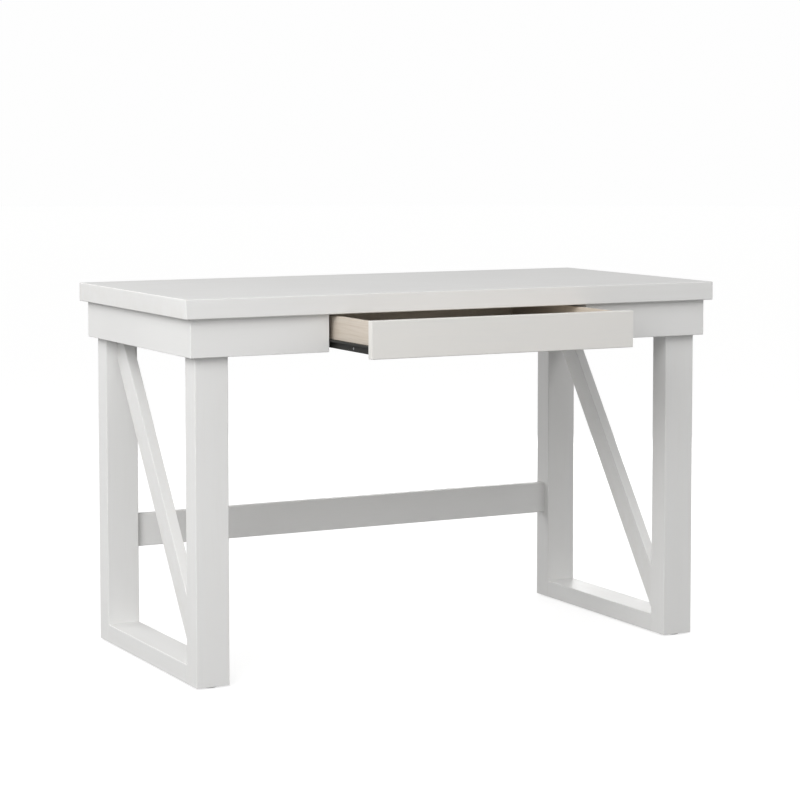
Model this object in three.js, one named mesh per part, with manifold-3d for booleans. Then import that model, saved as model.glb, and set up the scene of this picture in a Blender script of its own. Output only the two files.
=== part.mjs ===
// White writing desk with one shallow drawer.
//
// A thick board top sits on a box apron. Two closed end frames, each with a diagonal
// brace, carry it, and a stretcher ties their rear posts together. The drawer hangs
// between two partitions on roller slides, and stands partly open.
//
// Millimetres. +X is to the sitter's right, +Y is to the back, +Z is up. The origin is
// on the floor, in the middle of the ground that the desk and its open drawer cover.

import * as THREE from 'three';
import { mergeVertices } from 'three/addons/utils/BufferGeometryUtils.js';
import Module from 'manifold-3d';

// Driving dimensions

const desk = {
  length: 1219,        // tabletop, left to right
  depth: 597,          // tabletop, front to back
  height: 768,         // floor to the top of the tabletop
  topThickness: 39,
  overhang: 14,        // tabletop past the apron, all round
};

const apron = {
  height: 76,
  thickness: 16,
};

const frame = {
  postWidth: 70,       // along X
  postDepth: 50,       // along Y
  bottomRailHeight: 38,
  topRailThickness: 40,
  topRailRise: 2,      // underside of the top rail above the apron's lower edge
  braceWidth: 52,
  braceThickness: 22,
};

const tenon = {
  length: 20,
  bottomHeight: 22,
  bottomThickness: 24,
  topHeight: 40,
  topThickness: 16,
  mortiseExtraDepth: 1,
};

const stretcher = {
  bottom: 201,
  height: 70,
  thickness: 18,
};

const opening = {
  halfWidth: 298.5,
  partitionThickness: 16,
  partitionRise: 4,    // lower edge of a partition above the apron's lower edge
};

const drawer = {
  openBy: 184,         // how far the drawer stands out of the desk
  frontHalfWidth: 296.5,
  frontHeight: 74.5,
  frontThickness: 16,
  boxLength: 450,
  sideThickness: 12,
  sideBottomRise: 8,   // lower edge of a side above the front's lower edge
  sideHeight: 63,
  bottomThickness: 4,
  bottomRise: 8,       // underside of the bottom above the sides' lower edges
  grooveDepth: 6,
};

// A roller slide's section is drawn from the partition's face towards the drawer (u),
// and upwards from the lower edge of the drawer side (v).
const slide = {
  gap: 13,             // partition to drawer side
  length: 450,
  setBack: 2,          // cabinet member behind the back face of the closed front
  steel: 1.25,
  channelDepth: 11,
  channelHeight: 19.75,
  channelTopFlange: 8,
  flangeTop: 17,       // running flange of the drawer member
  flangeReach: 10,
  lipDrop: 4.5,
  shelfReach: 11,      // under the drawer side
  tabDrop: 4.5,        // end tab of the drawer member, below its shelf
  tabLength: 11,
  rollerRadius: 7,
  rollerWidth: 6,
  rollerFace: 4.75,    // u where a roller starts
  axleHeight: 8.5,
  axleFromEnd: 12,
  axleRadius: 2,
  axleHeadRadius: 3.25,
};

const glide = {
  height: 3,
  radius: 18,
  bevel: 1,
};

const bracket = {
  leg: 40,
  width: 30,
  thickness: 2,
  offset: 120,         // from the middle of the top rail
  holeFromCorner: 24,
};

const bolt = {
  radius: 3,
  length: 22,
  headRadius: 6,
  headHeight: 3.5,
  headBevel: 1,
  driveRadius: 2.25,
  driveDepth: 2,
};

const dowel = {
  radius: 3,
  length: 24,
  inFront: 10.5,       // depth that sits in the drawer front
  bevel: 0.75,
  rises: [24, 47],     // above the lower edge of the drawer side
};

const camLock = {
  radius: 7.25,
  depth: 12,
  fromEnd: 34,         // centre of the cam from the stretcher's end
  slotHalfHeight: 4,
  crossLength: 9,
  crossWidth: 1.5,
  crossDepth: 1.5,
};

const camPin = {
  threadRadius: 3,
  threadLength: 11,
  shankRadius: 3,
  neckRadius: 1.75,
  neckLength: 4,
  headRadius: 3,
  headLength: 3,
  boreRadius: 3.75,
};

const clearance = 0.25;    // round each tenon, panel and roller
const boreClearance = 0.3; // round each bolt, pin and dowel
const facets = 16;         // round bolts, pins and bores
const rollerFacets = 32;
const overcut = 1;         // a cutting tool starts this far outside the face it cuts

// Places worked out from the driving dimensions

const topUnderside = desk.height - desk.topThickness;
const apronBottom = topUnderside - apron.height;
const apronOuterX = desk.length / 2 - desk.overhang;
const apronOuterY = desk.depth / 2 - desk.overhang;
const apronInnerX = apronOuterX - apron.thickness;
const apronInnerY = apronOuterY - apron.thickness;

const postInnerX = apronInnerX - frame.postWidth;
const postMiddleX = apronInnerX - frame.postWidth / 2;
const postInnerY = apronInnerY - frame.postDepth;
const postMiddleY = apronInnerY - frame.postDepth / 2;
const bottomRailTop = glide.height + frame.bottomRailHeight;
const bottomRailMiddle = glide.height + frame.bottomRailHeight / 2;
const topRailBottom = apronBottom + frame.topRailRise;
const topRailMiddle = (topRailBottom + topUnderside) / 2;
const topRailInnerX = postMiddleX - frame.topRailThickness / 2;

const stretcherBackY = postMiddleY + stretcher.thickness / 2;
const stretcherMiddleZ = stretcher.bottom + stretcher.height / 2;

const sideOuterX = opening.halfWidth - slide.gap;
const sideInnerX = sideOuterX - drawer.sideThickness;
const sideMiddleX = sideOuterX - drawer.sideThickness / 2;
const sideBottom = apronBottom + drawer.sideBottomRise;
const sideTop = sideBottom + drawer.sideHeight;
const drawerBackY = -apronInnerY + drawer.boxLength;
const panelBottom = sideBottom + drawer.bottomRise;
const panelTop = panelBottom + drawer.bottomThickness;
const grooveX = sideInnerX + drawer.grooveDepth;

const channelFrontY = -apronInnerY + slide.setBack;

// The desk is drawn about the middle of its tabletop and then moved back, so that the
// origin comes to the middle of the ground that it covers with the drawer open.
const originShift = (apronOuterY + drawer.openBy - desk.depth / 2) / 2;

// Finishes

const finish = (color, roughness, metalness) =>
  new THREE.MeshStandardMaterial({ color, roughness, metalness });

const whitePaint = finish(0xe4e3e1, 0.45, 0);
const paleWood = finish(0xd9cbb8, 0.6, 0);
const panelWood = finish(0xcdbba3, 0.65, 0);
const dowelWood = finish(0xd2b48c, 0.7, 0);
const blackSteel = finish(0x2c2c2a, 0.4, 0.6);
const zincSteel = finish(0xb9bcc0, 0.35, 0.9);
const nylon = finish(0xe8e6dd, 0.4, 0);
const greyPlastic = finish(0x8a8a88, 0.6, 0);

// Solids

const wasm = await Module();
wasm.setup();

const axisX = new THREE.Vector3(1, 0, 0);
const axisY = new THREE.Vector3(0, 1, 0);
const axisZ = new THREE.Vector3(0, 0, 1);

function box(x, y, z) {
  const size = [x, y, z].map(([a, b]) => Math.abs(b - a));
  const middle = [x, y, z].map(([a, b]) => (a + b) / 2);
  return new THREE.BoxGeometry(...size).translate(...middle);
}

function extrude(outline, length) {
  const shape = new THREE.Shape(outline.map(([a, b]) => new THREE.Vector2(a, b)));
  return new THREE.ExtrudeGeometry(shape, { depth: length, bevelEnabled: false });
}

// An outline in (y, z), carried along X.
function prismX(outline, x0, x1) {
  const turn = new THREE.Matrix4().makeBasis(axisY, axisZ, axisX);
  return extrude(outline, x1 - x0).applyMatrix4(turn).translate(x0, 0, 0);
}

// An outline in (x, z), carried along Y.
function prismY(outline, y0, y1) {
  const turn = new THREE.Matrix4().makeBasis(axisX, axisZ, axisY.clone().negate());
  return extrude(outline, y1 - y0).applyMatrix4(turn).translate(0, y1, 0);
}

// An outline in (x, y), carried along Z.
function prismZ(outline, z0, z1) {
  return extrude(outline, z1 - z0).translate(0, 0, z0);
}

// A profile of (radius, distance) turned about the line from start in direction.
function turned(profile, start, direction, segments = facets) {
  const points = profile.map(([radius, along]) => new THREE.Vector2(radius, along));
  const turn = new THREE.Quaternion().setFromUnitVectors(axisY, direction);
  return new THREE.LatheGeometry(points, segments).applyQuaternion(turn).translate(...start);
}

// The tool for a blind bore of the given depth below its mouth.
function bore(mouth, direction, radius, depth) {
  const profile = [[0, -overcut], [radius, -overcut], [radius, depth], [0, depth]];
  return turned(profile, mouth, direction);
}

// A closed mesh whose shared vertices are merged, as a solid for joining and cutting.
function toSolid(geometry) {
  const bare = geometry.clone();
  bare.deleteAttribute('normal');
  bare.deleteAttribute('uv');
  const merged = mergeVertices(bare, 1e-4);
  const corners = merged.index.array;
  const kept = [];
  for (let i = 0; i < corners.length; i += 3) {
    const [a, b, c] = corners.slice(i, i + 3);
    if (a !== b && b !== c && c !== a) {
      kept.push(a, b, c);
    }
  }
  return new wasm.Manifold(new wasm.Mesh({
    numProp: 3,
    vertProperties: merged.attributes.position.array,
    triVerts: Uint32Array.from(kept),
  }));
}

function toGeometry(solid) {
  const mesh = solid.getMesh();
  const geometry = new THREE.BufferGeometry();
  geometry.setAttribute('position', new THREE.BufferAttribute(mesh.vertProperties, 3));
  geometry.setIndex(new THREE.BufferAttribute(mesh.triVerts, 1));
  geometry.computeVertexNormals();
  return geometry;
}

function join(first, ...others) {
  const whole = others.reduce((solid, part) => solid.add(toSolid(part)), toSolid(first));
  return toGeometry(whole);
}

function cut(stock, ...tools) {
  const rest = tools.reduce((solid, tool) => solid.subtract(toSolid(tool)), toSolid(stock));
  return toGeometry(rest);
}

function addPart(group, name, geometry, material) {
  const mesh = new THREE.Mesh(geometry, material);
  mesh.name = name;
  group.add(mesh);
}

const sides = { left: -1, right: 1 };
const ends = { front: -1, rear: 1 };
const span = (middle, size) => [middle - size / 2, middle + size / 2];
const mirrored = (side, [a, b]) => [side * a, side * b];
const along = (axis, side) => axis.clone().multiplyScalar(side);

// Where the two bolts of each frame bracket go in.
const topBoltX = topRailInnerX - bracket.holeFromCorner;
const railBoltZ = topUnderside - bracket.holeFromCorner;

function boltBore(mouth, direction) {
  return bore(mouth, direction, bolt.radius + boreClearance, bolt.length);
}

// Tabletop: one board, with the brackets' bolts bored into its underside.
function tabletop() {
  const board = box(
    span(0, desk.length),
    span(0, desk.depth),
    [topUnderside, desk.height],
  );
  const bores = [];
  for (const side of Object.values(sides)) {
    for (const end of Object.values(ends)) {
      bores.push(boltBore([side * topBoltX, end * bracket.offset, topUnderside], axisZ));
    }
  }
  return cut(board, ...bores);
}

// Apron boards are mitred where they meet at the desk's corners.
function frontApron(side) {
  return prismZ([
    [side * apronOuterX, -apronOuterY],
    [side * opening.halfWidth, -apronOuterY],
    [side * opening.halfWidth, -apronInnerY],
    [side * apronInnerX, -apronInnerY],
  ], apronBottom, topUnderside);
}

function rearApron() {
  return prismZ([
    [-apronOuterX, apronOuterY],
    [-apronInnerX, apronInnerY],
    [apronInnerX, apronInnerY],
    [apronOuterX, apronOuterY],
  ], apronBottom, topUnderside);
}

function sideApron(side) {
  return prismZ([
    [side * apronOuterX, -apronOuterY],
    [side * apronOuterX, apronOuterY],
    [side * apronInnerX, apronInnerY],
    [side * apronInnerX, -apronInnerY],
  ], apronBottom, topUnderside);
}

// A partition each side of the drawer, from the front apron to the rear apron.
function partition(side) {
  return box(
    mirrored(side, [opening.halfWidth, opening.halfWidth + opening.partitionThickness]),
    [-apronInnerY, apronInnerY],
    [apronBottom + opening.partitionRise, topUnderside],
  );
}

// A post has a mortise for each rail, and the rear one a bore for the stretcher's pin.
function post(side, end) {
  const stock = box(
    mirrored(side, [postInnerX, apronInnerX]),
    mirrored(end, [postInnerY, apronInnerY]),
    [glide.height, topUnderside],
  );
  const mortiseY = mirrored(end, [
    postInnerY - overcut,
    postInnerY + tenon.length + tenon.mortiseExtraDepth,
  ]);
  const bottomMortise = box(
    span(side * postMiddleX, tenon.bottomThickness + 2 * clearance),
    mortiseY,
    span(bottomRailMiddle, tenon.bottomHeight + 2 * clearance),
  );
  const topMortise = box(
    span(side * postMiddleX, tenon.topThickness + 2 * clearance),
    mortiseY,
    span(topRailMiddle, tenon.topHeight + 2 * clearance),
  );
  if (end === ends.front) {
    return cut(stock, bottomMortise, topMortise);
  }
  const pinBore = bore(
    [side * postInnerX, postMiddleY, stretcherMiddleZ],
    along(axisX, side),
    camPin.threadRadius + boreClearance,
    camPin.threadLength + overcut,
  );
  return cut(stock, bottomMortise, topMortise, pinBore);
}

// Rails lie between the posts, with a tenon at each end.
function bottomRail(side) {
  const rail = box(
    mirrored(side, [postInnerX, apronInnerX]),
    [-postInnerY, postInnerY],
    [glide.height, bottomRailTop],
  );
  const tenons = box(
    span(side * postMiddleX, tenon.bottomThickness),
    span(0, 2 * (postInnerY + tenon.length)),
    span(bottomRailMiddle, tenon.bottomHeight),
  );
  return join(rail, tenons);
}

function topRail(side) {
  const rail = box(
    span(side * postMiddleX, frame.topRailThickness),
    [-postInnerY, postInnerY],
    [topRailBottom, topUnderside],
  );
  const tenons = box(
    span(side * postMiddleX, tenon.topThickness),
    span(0, 2 * (postInnerY + tenon.length)),
    span(topRailMiddle, tenon.topHeight),
  );
  const bores = Object.values(ends).map((end) => boltBore(
    [side * topRailInnerX, end * bracket.offset, railBoltZ],
    along(axisX, side),
  ));
  return cut(join(rail, tenons), ...bores);
}

// The brace's middle line runs from the foot of the front post to the head of the rear
// post, and its ends are cut to fit both corners.
function brace(side) {
  const rise = topRailBottom - bottomRailTop;
  const run = 2 * postInnerY;
  const slope = Math.atan2(rise, run);
  const cutAlongY = frame.braceWidth / 2 / Math.sin(slope);
  const cutAlongZ = frame.braceWidth / 2 / Math.cos(slope);
  const outline = [
    [-postInnerY, bottomRailTop],
    [-postInnerY + cutAlongY, bottomRailTop],
    [postInnerY, topRailBottom - cutAlongZ],
    [postInnerY, topRailBottom],
    [postInnerY - cutAlongY, topRailBottom],
    [-postInnerY, bottomRailTop + cutAlongZ],
  ];
  return prismX(outline, ...span(side * postMiddleX, frame.braceThickness));
}

// Stretcher between the rear posts, bored at each end for a cam lock and its pin.
function stretcherBoard() {
  const board = box(
    [-postInnerX, postInnerX],
    [stretcherBackY - stretcher.thickness, stretcherBackY],
    span(stretcherMiddleZ, stretcher.height),
  );
  const tools = [];
  for (const side of Object.values(sides)) {
    tools.push(bore(
      [side * (postInnerX - camLock.fromEnd), stretcherBackY, stretcherMiddleZ],
      along(axisY, -1),
      camLock.radius + boreClearance,
      camLock.depth + 3 * clearance,
    ));
    tools.push(bore(
      [side * postInnerX, postMiddleY, stretcherMiddleZ],
      along(axisX, -side),
      camPin.boreRadius,
      camLock.fromEnd,
    ));
  }
  return cut(board, ...tools);
}

// A cam is a short cylinder, slotted to take the pin's head and crossed for a driver.
function cam(side) {
  const centreX = side * (postInnerX - camLock.fromEnd);
  const faceY = stretcherBackY - clearance;
  const backY = faceY - camLock.depth;
  const body = turned(
    [[0, 0], [camLock.radius, 0], [camLock.radius, camLock.depth], [0, camLock.depth]],
    [centreX, backY, stretcherMiddleZ],
    axisY,
  );
  const slot = box(
    [centreX - side * camLock.slotHalfHeight, centreX + side * (camLock.radius + overcut)],
    [backY - overcut, postMiddleY + camLock.slotHalfHeight],
    span(stretcherMiddleZ, 2 * camLock.slotHalfHeight),
  );
  const crossY = [faceY - camLock.crossDepth, faceY + overcut];
  const flat = box(
    span(centreX, camLock.crossLength),
    crossY,
    span(stretcherMiddleZ, camLock.crossWidth),
  );
  const upright = box(
    span(centreX, camLock.crossWidth),
    crossY,
    span(stretcherMiddleZ, camLock.crossLength),
  );
  return cut(body, slot, flat, upright);
}

// A cam pin: thread in the post, shank in the stretcher, neck and head in the cam.
function pin(side) {
  const headEnd = camLock.fromEnd + camPin.headLength / 2;
  const neckEnd = headEnd - camPin.headLength;
  const shankEnd = neckEnd - camPin.neckLength;
  const profile = [
    [0, -camPin.threadLength],
    [camPin.threadRadius, -camPin.threadLength],
    [camPin.shankRadius, shankEnd],
    [camPin.neckRadius, shankEnd],
    [camPin.neckRadius, neckEnd],
    [camPin.headRadius, neckEnd],
    [camPin.headRadius, headEnd],
    [0, headEnd],
  ];
  return turned(profile, [side * postInnerX, postMiddleY, stretcherMiddleZ], along(axisX, -side));
}

// A glide is a disc with a bevelled lower edge.
function floorGlide(side, end) {
  const profile = [
    [0, 0],
    [glide.radius - glide.bevel, 0],
    [glide.radius, glide.bevel],
    [glide.radius, glide.height],
    [0, glide.height],
  ];
  return turned(profile, [side * postMiddleX, end * postMiddleY, 0], axisZ, rollerFacets);
}

// Steel angle between a top rail and the tabletop, with a bolt through each leg.
function frameBracket(side, end) {
  const cornerX = side * topRailInnerX;
  const out = -side;
  const outline = [
    [cornerX, topUnderside],
    [cornerX + out * bracket.leg, topUnderside],
    [cornerX + out * bracket.leg, topUnderside - bracket.thickness],
    [cornerX + out * bracket.thickness, topUnderside - bracket.thickness],
    [cornerX + out * bracket.thickness, topUnderside - bracket.leg],
    [cornerX, topUnderside - bracket.leg],
  ];
  const angle = prismY(outline, ...span(end * bracket.offset, bracket.width));
  const holeRadius = bolt.radius + boreClearance;
  const depth = bracket.thickness + overcut;
  const topHole = bore(
    [side * topBoltX, end * bracket.offset, topUnderside - bracket.thickness],
    axisZ,
    holeRadius,
    depth,
  );
  const railHole = bore(
    [cornerX + out * bracket.thickness, end * bracket.offset, railBoltZ],
    along(axisX, side),
    holeRadius,
    depth,
  );
  return cut(angle, topHole, railHole);
}

// A pan-head bolt whose head seats at the given point.
function boltAt(seat, direction) {
  const tip = bolt.length - bracket.thickness;
  const profile = [
    [0, -bolt.headHeight + bolt.driveDepth],
    [bolt.driveRadius, -bolt.headHeight + bolt.driveDepth],
    [bolt.driveRadius, -bolt.headHeight],
    [bolt.headRadius - bolt.headBevel, -bolt.headHeight],
    [bolt.headRadius, -bolt.headHeight + bolt.headBevel],
    [bolt.headRadius, 0],
    [bolt.radius, 0],
    [bolt.radius, tip],
    [0, tip],
  ];
  return turned(profile, seat, direction);
}

function topBolt(side, end) {
  return boltAt([side * topBoltX, end * bracket.offset, topUnderside - bracket.thickness], axisZ);
}

function railBolt(side, end) {
  const seatX = side * (topRailInnerX - bracket.thickness);
  return boltAt([seatX, end * bracket.offset, railBoltZ], along(axisX, side));
}

// The drawer is drawn closed.

function dowelPlaces(side) {
  return dowel.rises.map((rise) => [side * sideMiddleX, -apronInnerY, sideBottom + rise]);
}

// One full-height board, grooved for the bottom and bored for the dowels.
function drawerFront() {
  const board = box(
    span(0, 2 * drawer.frontHalfWidth),
    [-apronInnerY - drawer.frontThickness, -apronInnerY],
    [apronBottom, apronBottom + drawer.frontHeight],
  );
  const groove = box(
    [-grooveX, grooveX],
    [-apronInnerY - drawer.grooveDepth, -apronInnerY + overcut],
    [panelBottom - clearance, panelTop + clearance],
  );
  const bores = Object.values(sides).flatMap(dowelPlaces).map((place) => bore(
    place,
    along(axisY, -1),
    dowel.radius + boreClearance,
    dowel.inFront + clearance,
  ));
  return cut(board, groove, ...bores);
}

function drawerSide(side) {
  const inner = side * sideInnerX;
  const outer = side * sideOuterX;
  const outline = [
    [outer, sideBottom],
    [outer, sideTop],
    [inner, sideTop],
    [inner, panelTop + clearance],
    [side * grooveX, panelTop + clearance],
    [side * grooveX, panelBottom - clearance],
    [inner, panelBottom - clearance],
    [inner, sideBottom],
  ];
  const bores = dowelPlaces(side).map((place) => bore(
    place,
    axisY,
    dowel.radius + boreClearance,
    dowel.length - dowel.inFront + clearance,
  ));
  return cut(prismY(outline, -apronInnerY, drawerBackY), ...bores);
}

function drawerBack() {
  return box(
    [-sideInnerX, sideInnerX],
    [drawerBackY - drawer.sideThickness, drawerBackY],
    [panelTop, sideTop],
  );
}

function drawerBottom() {
  return box(
    span(0, 2 * (grooveX - clearance)),
    [-apronInnerY - drawer.grooveDepth + clearance, drawerBackY],
    [panelBottom, panelTop],
  );
}

function dowelAt([x, y, z]) {
  const profile = [
    [0, 0],
    [dowel.radius - dowel.bevel, 0],
    [dowel.radius, dowel.bevel],
    [dowel.radius, dowel.length - dowel.bevel],
    [dowel.radius - dowel.bevel, dowel.length],
    [0, dowel.length],
  ];
  return turned(profile, [x, y - dowel.inFront, z], axisY);
}

// From (u, v) of the slide's section to (x, z).
function slidePoint(side, [u, v]) {
  return [side * (opening.halfWidth - u), sideBottom + v];
}

// An axle from u0 to u1 with a flat head at u1, standing on a slide member.
function axle(side, u0, u1, y) {
  const [x, z] = slidePoint(side, [u0, slide.axleHeight]);
  const inward = Math.sign(u1 - u0);
  const length = Math.abs(u1 - u0);
  const profile = [
    [0, 0],
    [slide.axleRadius, 0],
    [slide.axleRadius, length - 2 * clearance],
    [slide.axleHeadRadius, length - 2 * clearance],
    [slide.axleHeadRadius, length],
    [0, length],
  ];
  return turned(profile, [x, y, z], along(axisX, -side * inward));
}

// Channel on the partition, with its roller's axle at the front.
function cabinetMember(side) {
  const steel = slide.steel;
  const top = slide.channelHeight;
  const section = [
    [0, 0],
    [slide.channelDepth, 0],
    [slide.channelDepth, steel],
    [steel, steel],
    [steel, top - steel],
    [slide.channelTopFlange, top - steel],
    [slide.channelTopFlange, top],
    [0, top],
  ].map((point) => slidePoint(side, point));
  const channel = prismY(section, channelFrontY, channelFrontY + slide.length);
  const headEnd = slide.gap - slide.steel - clearance;
  const pivot = axle(side, steel / 2, headEnd, channelFrontY + slide.axleFromEnd);
  return join(channel, pivot);
}

// Angle under the drawer side, whose flange runs on the cabinet roller. Its own
// roller's axle is at the back, and a tab hangs from its front end.
function drawerMember(side) {
  const steel = slide.steel;
  const face = slide.gap;
  const lip = face - slide.flangeReach;
  const top = slide.flangeTop;
  const section = [
    [face + slide.shelfReach, -steel],
    [face + slide.shelfReach, 0],
    [face, 0],
    [face, top],
    [lip, top],
    [lip, top - slide.lipDrop],
    [lip + steel, top - slide.lipDrop],
    [lip + steel, top - steel],
    [face - steel, top - steel],
    [face - steel, -steel],
  ].map((point) => slidePoint(side, point));
  const angle = prismY(section, -apronInnerY, -apronInnerY + slide.length);
  const headEnd = slide.rollerFace - 4 * clearance - steel / 2;
  const pivot = axle(side, face - steel / 2, headEnd, drawerBackY - slide.axleFromEnd);
  const tabFoot = -steel - slide.tabDrop;
  const tabSection = [
    [face - steel, tabFoot],
    [face, tabFoot],
    [face, 0],
    [face - steel, 0],
  ].map((point) => slidePoint(side, point));
  const tab = prismY(tabSection, -apronInnerY, -apronInnerY + slide.tabLength);
  return join(angle, tab, pivot);
}

// A roller is a bored disc with eased rims.
function roller(side, y) {
  const inner = slide.axleRadius + boreClearance;
  const outer = slide.rollerRadius;
  const width = slide.rollerWidth;
  const ease = width / 10;
  const profile = [
    [inner, 0],
    [outer - ease, 0],
    [outer, ease],
    [outer, width - ease],
    [outer - ease, width],
    [inner, width],
    [inner, 0],
  ];
  const [x, z] = slidePoint(side, [slide.rollerFace, slide.axleHeight]);
  return turned(profile, [x, y, z], along(axisX, -side), rollerFacets);
}

// Assembly

function buildApron() {
  const group = new THREE.Group();
  addPart(group, 'rear_apron', rearApron(), whitePaint);
  for (const [name, side] of Object.entries(sides)) {
    addPart(group, `front_apron_${name}`, frontApron(side), whitePaint);
    addPart(group, `side_apron_${name}`, sideApron(side), whitePaint);
    addPart(group, `drawer_partition_${name}`, partition(side), whitePaint);
  }
  return group;
}

function buildEndFrame(name, side) {
  const group = new THREE.Group();
  addPart(group, `${name}_bottom_rail`, bottomRail(side), whitePaint);
  addPart(group, `${name}_top_rail`, topRail(side), whitePaint);
  addPart(group, `${name}_diagonal_brace`, brace(side), whitePaint);
  for (const [place, end] of Object.entries(ends)) {
    const corner = `${name}_${place}`;
    addPart(group, `${corner}_post`, post(side, end), whitePaint);
    addPart(group, `${corner}_glide`, floorGlide(side, end), greyPlastic);
    addPart(group, `${corner}_bracket`, frameBracket(side, end), zincSteel);
    addPart(group, `${corner}_top_bolt`, topBolt(side, end), zincSteel);
    addPart(group, `${corner}_rail_bolt`, railBolt(side, end), zincSteel);
  }
  return group;
}

function buildStretcher() {
  const group = new THREE.Group();
  addPart(group, 'stretcher', stretcherBoard(), whitePaint);
  for (const [name, side] of Object.entries(sides)) {
    addPart(group, `stretcher_cam_${name}`, cam(side), zincSteel);
    addPart(group, `stretcher_cam_pin_${name}`, pin(side), zincSteel);
  }
  return group;
}

function buildCabinetSlides() {
  const group = new THREE.Group();
  const rollerY = channelFrontY + slide.axleFromEnd;
  for (const [name, side] of Object.entries(sides)) {
    addPart(group, `cabinet_slide_${name}`, cabinetMember(side), blackSteel);
    addPart(group, `cabinet_roller_${name}`, roller(side, rollerY), nylon);
  }
  return group;
}

function buildDrawer() {
  const group = new THREE.Group();
  addPart(group, 'drawer_front', drawerFront(), whitePaint);
  addPart(group, 'drawer_back', drawerBack(), paleWood);
  addPart(group, 'drawer_bottom', drawerBottom(), panelWood);
  const rollerY = drawerBackY - slide.axleFromEnd;
  for (const [name, side] of Object.entries(sides)) {
    addPart(group, `drawer_side_${name}`, drawerSide(side), paleWood);
    addPart(group, `drawer_slide_${name}`, drawerMember(side), blackSteel);
    addPart(group, `drawer_roller_${name}`, roller(side, rollerY), nylon);
    const [lower, upper] = dowelPlaces(side);
    addPart(group, `drawer_lower_dowel_${name}`, dowelAt(lower), dowelWood);
    addPart(group, `drawer_upper_dowel_${name}`, dowelAt(upper), dowelWood);
  }
  group.position.y = -drawer.openBy;
  return group;
}

const writingDesk = new THREE.Group();
addPart(writingDesk, 'tabletop', tabletop(), whitePaint);
writingDesk.add(buildApron());
for (const [name, side] of Object.entries(sides)) {
  writingDesk.add(buildEndFrame(name, side));
}
writingDesk.add(buildStretcher());
writingDesk.add(buildCabinetSlides());
writingDesk.add(buildDrawer());
writingDesk.position.y = originShift;

export default writingDesk;
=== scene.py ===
import math

import bmesh
import bpy
import numpy as np
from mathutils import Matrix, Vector


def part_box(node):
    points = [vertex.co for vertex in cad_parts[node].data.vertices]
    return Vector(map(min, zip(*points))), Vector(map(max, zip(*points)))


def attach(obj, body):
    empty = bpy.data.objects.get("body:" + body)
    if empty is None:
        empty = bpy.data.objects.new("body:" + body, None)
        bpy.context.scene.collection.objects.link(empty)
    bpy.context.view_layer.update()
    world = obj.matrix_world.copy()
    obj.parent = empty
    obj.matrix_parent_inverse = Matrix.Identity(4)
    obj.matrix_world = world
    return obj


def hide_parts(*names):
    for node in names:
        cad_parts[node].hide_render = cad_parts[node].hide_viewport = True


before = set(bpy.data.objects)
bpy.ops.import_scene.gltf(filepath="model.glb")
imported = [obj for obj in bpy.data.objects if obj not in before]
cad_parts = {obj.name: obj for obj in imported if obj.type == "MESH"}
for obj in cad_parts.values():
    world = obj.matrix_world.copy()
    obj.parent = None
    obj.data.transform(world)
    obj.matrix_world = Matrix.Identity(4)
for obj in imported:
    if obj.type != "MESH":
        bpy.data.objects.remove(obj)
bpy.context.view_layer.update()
mm = 0.001
mergeDistance = 0.002 * mm
creaseAngle = 40.0      # degrees; a sharper turn between two faces stays an edge
sides = {"left": -1, "right": 1}
ends = ("front", "rear")
print("frame loaded:", len(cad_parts), "nodes")


# Mesh helpers. A shell is (points, faces, edge): edge says how far each point is on an
# eased edge, from 0 on a flat to 1 in the middle of the round.

def closedShell(points, faces, edge):
    # One closed shell as a mesh: seams merged, faces outward.
    mesh = bpy.data.meshes.new("shell")
    mesh.from_pydata(points, [], faces)
    mesh.attributes.new("edge", "FLOAT", "POINT").data.foreach_set("value", edge)
    whole = bmesh.new()
    whole.from_mesh(mesh)
    bmesh.ops.remove_doubles(whole, verts=whole.verts, dist=mergeDistance)
    bmesh.ops.dissolve_degenerate(whole, edges=whole.edges, dist=mergeDistance / 2)
    bmesh.ops.recalc_face_normals(whole, faces=whole.faces)
    whole.to_mesh(mesh)
    whole.free()
    return mesh


def makePiece(name, shells, material, body, nodes, seed):
    # Shells become one piece: flats stay flat, rounds shade smoothly, and it rides on
    # its body in place of its CAD nodes. The seed shifts its pattern, so that no two
    # pieces look the same.
    whole = bmesh.new()
    for shell in shells:
        part = closedShell(*shell)
        whole.from_mesh(part)
        bpy.data.meshes.remove(part)
    mesh = bpy.data.meshes.new(name)
    whole.to_mesh(mesh)
    whole.free()
    mesh.shade_smooth()
    mesh.set_sharp_from_angle(angle=math.radians(creaseAngle))
    mesh.attributes.new("seed", "FLOAT", "POINT").data.foreach_set(
        "value", np.full(len(mesh.vertices), seed, np.float32)
    )
    mesh.materials.append(material)
    piece = bpy.data.objects.new(name, mesh)
    bpy.context.scene.collection.objects.link(piece)
    weighted = piece.modifiers.new("flats stay flat", "WEIGHTED_NORMAL")
    weighted.keep_sharp = True
    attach(piece, body)
    if nodes:
        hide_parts(*nodes)
    return piece


def rowFaces(rows, columns, ring):
    # Quads between the rows of a grid whose columns run round a closed loop.
    row = np.arange(rows if ring else rows - 1)[:, None]
    column = np.arange(columns)[None, :]
    nextRow, nextColumn = (row + 1) % rows, (column + 1) % columns
    corners = np.stack([
        row * columns + column,
        row * columns + nextColumn,
        nextRow * columns + nextColumn,
        nextRow * columns + column,
    ], axis=-1)
    return corners.reshape(-1, 4).tolist()


def sweptShell(rows, edge, ring=False):
    # rows is an array (stations, points round the section, 3). Both ends are capped,
    # or a ring's last row joins its first.
    stations, around, _ = rows.shape
    faces = rowFaces(stations, around, ring)
    if not ring:
        faces.append(list(range(around)))
        faces.append(list(range((stations - 1) * around, stations * around)))
    return rows.reshape(-1, 3), faces, edge.ravel()


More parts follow.
